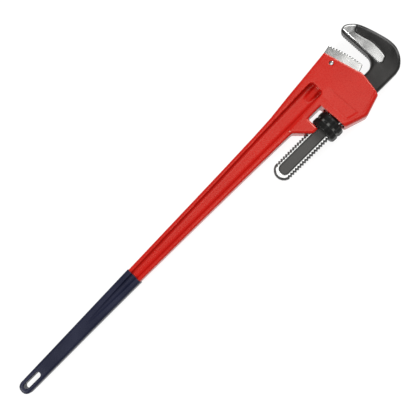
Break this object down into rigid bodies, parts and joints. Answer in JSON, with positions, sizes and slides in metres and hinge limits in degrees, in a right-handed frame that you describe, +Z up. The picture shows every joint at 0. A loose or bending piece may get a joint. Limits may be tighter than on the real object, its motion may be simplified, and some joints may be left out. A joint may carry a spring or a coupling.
{
  "type": "pipe wrench",
  "caption": "Straight pipe wrench with a red I-section handle, dipped grip, toothed heel jaw, threaded hook jaw and adjusting nut.",
  "frame": {"origin": "on the ground plane under the centre of the whole outline, with the wrench lying on its side", "axes": "+X along the jaw shank and the handle, from the butt towards the jaws; +Y from the threaded shank towards the heel jaw; +Z up, across the thickness"},
  "size_m": [1.1046, 0.1764, 0.0637],
  "materials": {
    "red_enamel": "gloss enamel on a cast surface",
    "navy_vinyl": "dipped, satin",
    "black_forging": "blackened forging with polished web and thread flats",
    "black_oxide": "black oxide, satin",
    "ground_steel": "ground and polished",
    "bright_pin": "turned, bright",
    "spring_steel": "oiled, plain"
  },
  "bodies": {
    "handle": {"handle": "red_enamel", "grip_sleeve": "navy_vinyl", "heel_jaw": "ground_steel", "heel_jaw_pin": "bright_pin", "coil_spring": "spring_steel"},
    "spring_carrier": {"leaf_spring": "spring_steel", "spring_stud": "spring_steel"},
    "nut": {"adjusting_nut": "black_oxide"},
    "jaw": {"hook_jaw": "black_forging"}
  },
  "joints": [
    {"name": "jaw_rock", "type": "hinge", "parent": "handle", "child": "spring_carrier", "pos_m": [0.346, -0.04312, 0.03185], "axis": [0, 0, 1], "range_deg": [-0.5, 2], "stiffness_Nm_per_rad": 40, "deforming": ["coil_spring"]},
    {"name": "nut_spin", "type": "hinge", "parent": "spring_carrier", "child": "nut", "pos_m": [0.346, -0.04312, 0.03185], "axis": [1, 0, 0], "range_deg": [-5770, 906]},
    {"name": "jaw_slide", "type": "slide", "parent": "spring_carrier", "child": "jaw", "axis": [1, 0, 0], "range_m": [-0.018, 0.1146]}
  ],
  "couplings": [
    {"joint": "jaw_slide", "follows": "nut_spin", "m_per_rad": -0.001138}
  ]
}
